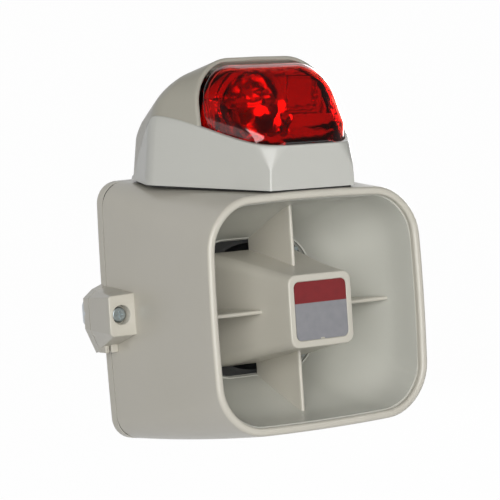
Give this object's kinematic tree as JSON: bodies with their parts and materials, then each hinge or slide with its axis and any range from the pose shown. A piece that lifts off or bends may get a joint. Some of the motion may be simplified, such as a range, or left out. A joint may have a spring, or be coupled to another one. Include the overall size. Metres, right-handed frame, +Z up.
{
  "type": "alarm siren",
  "caption": "Wall-mounted alarm siren: a moulded case with a square folded horn, fins and centre body, and a red strobe under a sloped hood on top.",
  "frame": {"origin": "on the wall face of the steel wall plate, at the centre of its four wall holes, in line with the horn's axis", "axes": "+Z up, -Y the way the horn faces, +Y towards the wall, +X to the right seen from the front"},
  "size_m": [0.1736, 0.124, 0.2146],
  "materials": {
    "case_plastic": "warm grey-white moulded ABS, semi-gloss",
    "strobe_plastic": "light grey moulded ABS, glossy",
    "black_plastic": "black moulded plastic",
    "seal_rubber": "black EPDM seal",
    "zinc_steel": "zinc-plated steel",
    "screw_steel": "plated screw steel",
    "label": "bare two-tone label plate, maroon over grey",
    "diaphragm_resin": "phenolic-bonded cloth",
    "copper_wire": "enamelled copper winding",
    "ferrite": "sintered ferrite",
    "tinned_brass": "tinned brass",
    "circuit_board": "green solder mask on glass epoxy",
    "capacitor_sleeve": "shrunk sleeve on an aluminium can",
    "sink_aluminium": "bare extruded aluminium",
    "terminal_green": "green moulded polyamide",
    "switch_red": "red moulded acetal",
    "red_lens": "transparent red polycarbonate",
    "reflector_chrome": "vacuum-metallised plastic",
    "tube_glass": "clear quartz glass"
  },
  "bodies": {
    "case": {"front_housing": "case_plastic", "back_cover": "case_plastic", "case_gasket": "seal_rubber", "wall_plate": "zinc_steel", "clinch_nuts": "zinc_steel", "lug_screws": "screw_steel", "case_screws": "screw_steel", "cable_grommet": "seal_rubber", "horn_bell": "case_plastic", "reflex_horn": "case_plastic", "label_plate": "label", "throat_gasket": "seal_rubber", "throat_horn": "black_plastic", "throat_screws": "screw_steel", "driver_frame": "black_plastic", "driver_screws": "screw_steel", "diaphragm_surround": "diaphragm_resin", "top_plate": "zinc_steel", "ring_magnet": "ferrite", "pole_yoke": "zinc_steel", "driver_terminals": "tinned_brass", "siren_board": "circuit_board", "board_screws": "screw_steel", "board_capacitors": "capacitor_sleeve", "timing_chip": "black_plastic", "heat_sink": "sink_aluminium", "output_transistors": "black_plastic", "terminal_block": "terminal_green", "terminal_screws": "screw_steel", "tamper_switch": "black_plastic", "tamper_spring": "screw_steel", "strobe_gasket": "seal_rubber", "strobe_base": "strobe_plastic", "strobe_screws": "screw_steel", "strobe_hood": "strobe_plastic", "strobe_lens": "red_lens", "lens_gasket": "seal_rubber", "strobe_reflector": "reflector_chrome", "flash_tube": "tube_glass", "tube_caps": "tinned_brass", "strobe_board": "circuit_board", "strobe_capacitor": "capacitor_sleeve", "trigger_coil": "copper_wire"},
    "diaphragm": {"diaphragm_dome": "diaphragm_resin", "voice_coil": "copper_wire"},
    "plunger": {"tamper_plunger": "switch_red"}
  },
  "joints": [
    {"name": "diaphragm_travel", "type": "slide", "parent": "case", "child": "diaphragm", "axis": [0, -1, 0], "range_m": [-0.0003, 0.0003], "stiffness_N_per_m": 20000},
    {"name": "plunger_travel", "type": "slide", "parent": "case", "child": "plunger", "axis": [0, -1, 0], "range_m": [0, 0.0025], "stiffness_N_per_m": 400, "springref_m": -0.0005, "deforming": ["tamper_spring"]}
  ]
}
